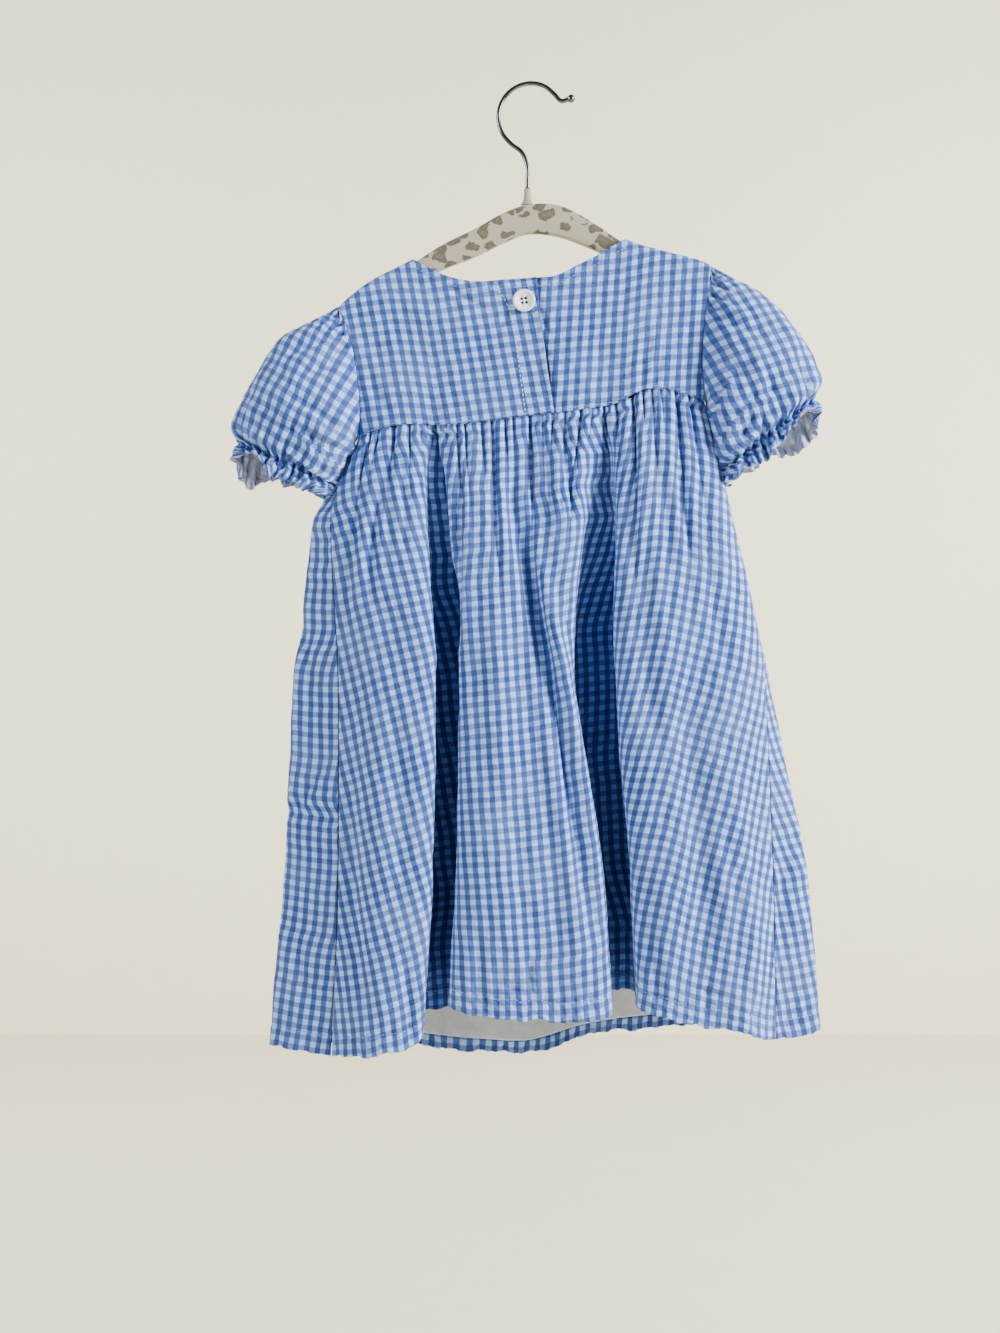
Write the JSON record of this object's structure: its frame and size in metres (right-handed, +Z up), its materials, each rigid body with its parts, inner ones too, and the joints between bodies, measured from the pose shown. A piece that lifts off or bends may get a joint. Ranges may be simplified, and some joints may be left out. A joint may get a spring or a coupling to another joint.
{
  "type": "child's puff-sleeved gingham sundress on a hanger",
  "caption": "Child's checked cotton dress with a gathered skirt, puff sleeves and a buttoned back slit, hung on a slim velvet hanger with a wire hook.",
  "frame": {"origin": "the underside of the hook's crown, where a rod or wall hook holds the hanger", "axes": "+X to the right of the picture, which shows the garment's back, +Y into it and out of the garment's front, +Z up"},
  "size_m": [0.3988, 0.0698, 0.66],
  "materials": {
    "gingham": "plain-weave cotton, blue and white check",
    "lining": "plain white cotton",
    "button": "satin white",
    "velvet": "short cream flock with grey animal spots",
    "hook_wire": "bright plated wire"
  },
  "bodies": {
    "root": {"back_yoke_left": "gingham", "back_yoke_right": "gingham", "front_yoke": "gingham", "sleeve_left": "gingham", "sleeve_right": "gingham", "skirt_back": "gingham", "skirt_front": "gingham", "front_lining": "lining", "button": "button", "hanger_body": "velvet", "hanger_collar": "velvet", "hanger_hook": "hook_wire"}
  },
  "joints": []
}
